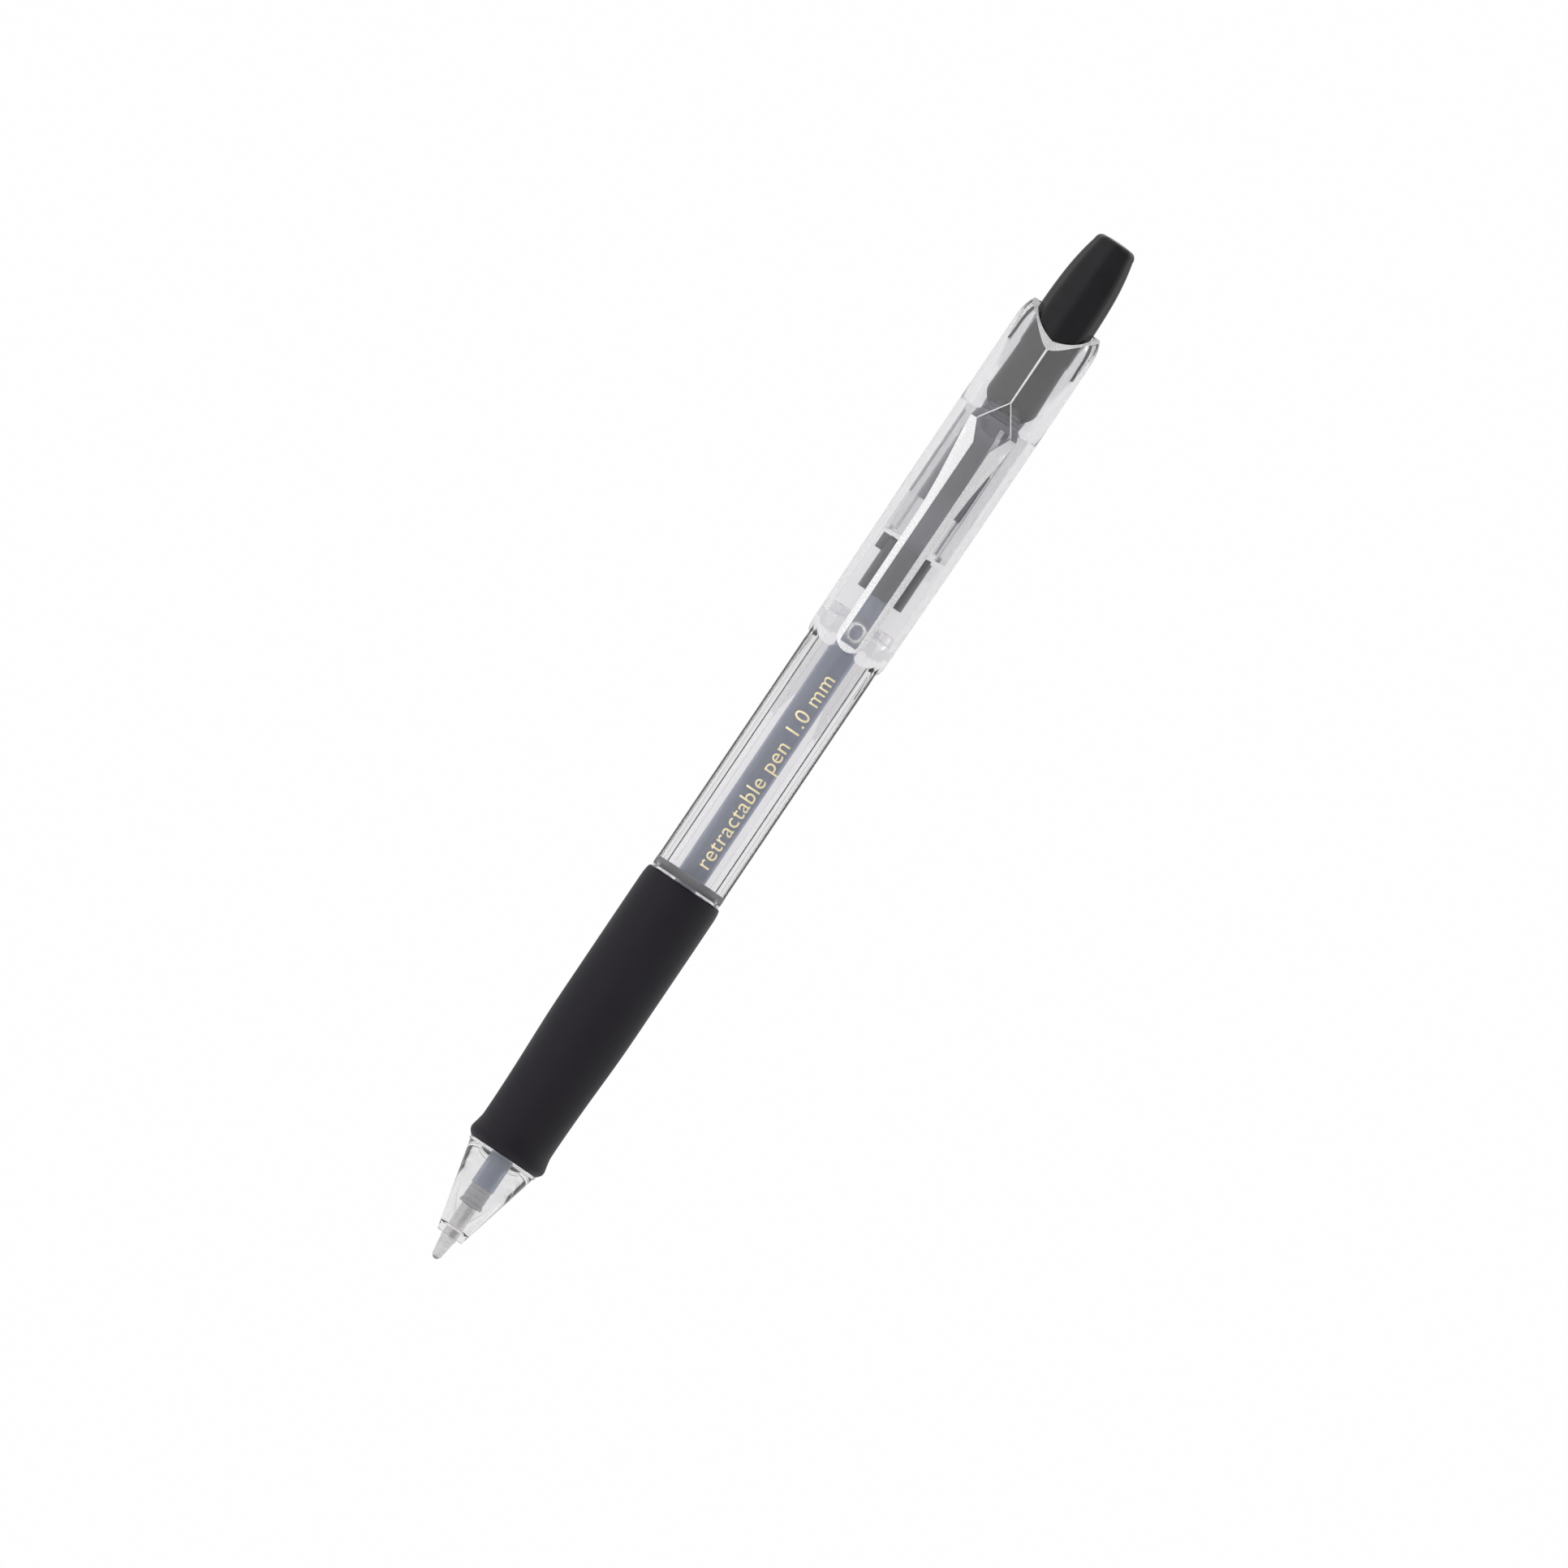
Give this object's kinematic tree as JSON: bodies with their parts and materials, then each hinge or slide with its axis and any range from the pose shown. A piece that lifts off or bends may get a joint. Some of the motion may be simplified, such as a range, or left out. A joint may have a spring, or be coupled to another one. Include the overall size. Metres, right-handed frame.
{
  "type": "retractable pen",
  "caption": "Retractable stick pen with a clear six-sided barrel, soft grip, push button and pocket clip, for writing by hand.",
  "frame": {"origin": "the writing point, where the ball touches the paper, on the pen's axis, with the refill pushed out", "axes": "+Z along the pen from the nib to the button; the clip is at -Y; +X to the right when the clip faces the viewer"},
  "size_m": [0.0108, 0.0132, 0.145],
  "materials": {
    "clear_plastic": "clear moulded plastic, polished",
    "frosted_plastic": "clear moulded plastic, slightly hazy",
    "black_rubber": "soft matt rubber",
    "black_gloss": "polished black plastic",
    "grey_plastic": "dark grey satin plastic",
    "dark_plastic": "black satin plastic",
    "spring_steel": "bright drawn wire",
    "tube_plastic": "translucent extruded plastic",
    "ink": "black ink, wet",
    "grease": "translucent grease",
    "holder_plastic": "pale frosted plastic",
    "nickel_silver": "turned metal, satin",
    "carbide": "ground and polished ball",
    "gold_print": "pale gold ink, printed on the barrel"
  },
  "bodies": {
    "barrel": {"nose_cone": "clear_plastic", "barrel": "clear_plastic", "rubber_grip": "black_rubber", "clip_sleeve": "clear_plastic", "cam_tube": "frosted_plastic", "return_spring": "spring_steel"},
    "button": {"push_button": "black_gloss", "thruster": "grey_plastic"},
    "refill": {"refill_tube": "tube_plastic", "ink_column": "ink", "ink_follower": "grease", "tip_holder": "holder_plastic", "nib_tip": "nickel_silver"},
    "rotor": {"cam_rotor": "dark_plastic"},
    "ball": {"writing_ball": "carbide"}
  },
  "joints": [
    {"name": "button_press", "type": "slide", "parent": "barrel", "child": "button", "axis": [0, 0, 1], "range_m": [-0.0008, 0.005]},
    {"name": "refill_slide", "type": "slide", "parent": "barrel", "child": "refill", "axis": [0, 0, 1], "range_m": [-0.0008, 0.005], "deforming": ["return_spring"]},
    {"name": "rotor_turn", "type": "hinge", "parent": "refill", "child": "rotor", "pos_m": [0, 0, 0.0975], "axis": [0, 0, 1], "range_deg": [0, 120]},
    {"name": "ball_roll", "type": "hinge", "parent": "refill", "child": "ball", "pos_m": [0, 0, 0.0005], "axis": [1, 0, 0], "continuous": true}
  ],
  "couplings": [
    {"joint": "refill_slide", "follows": "button_press", "ratio": 1}
  ]
}
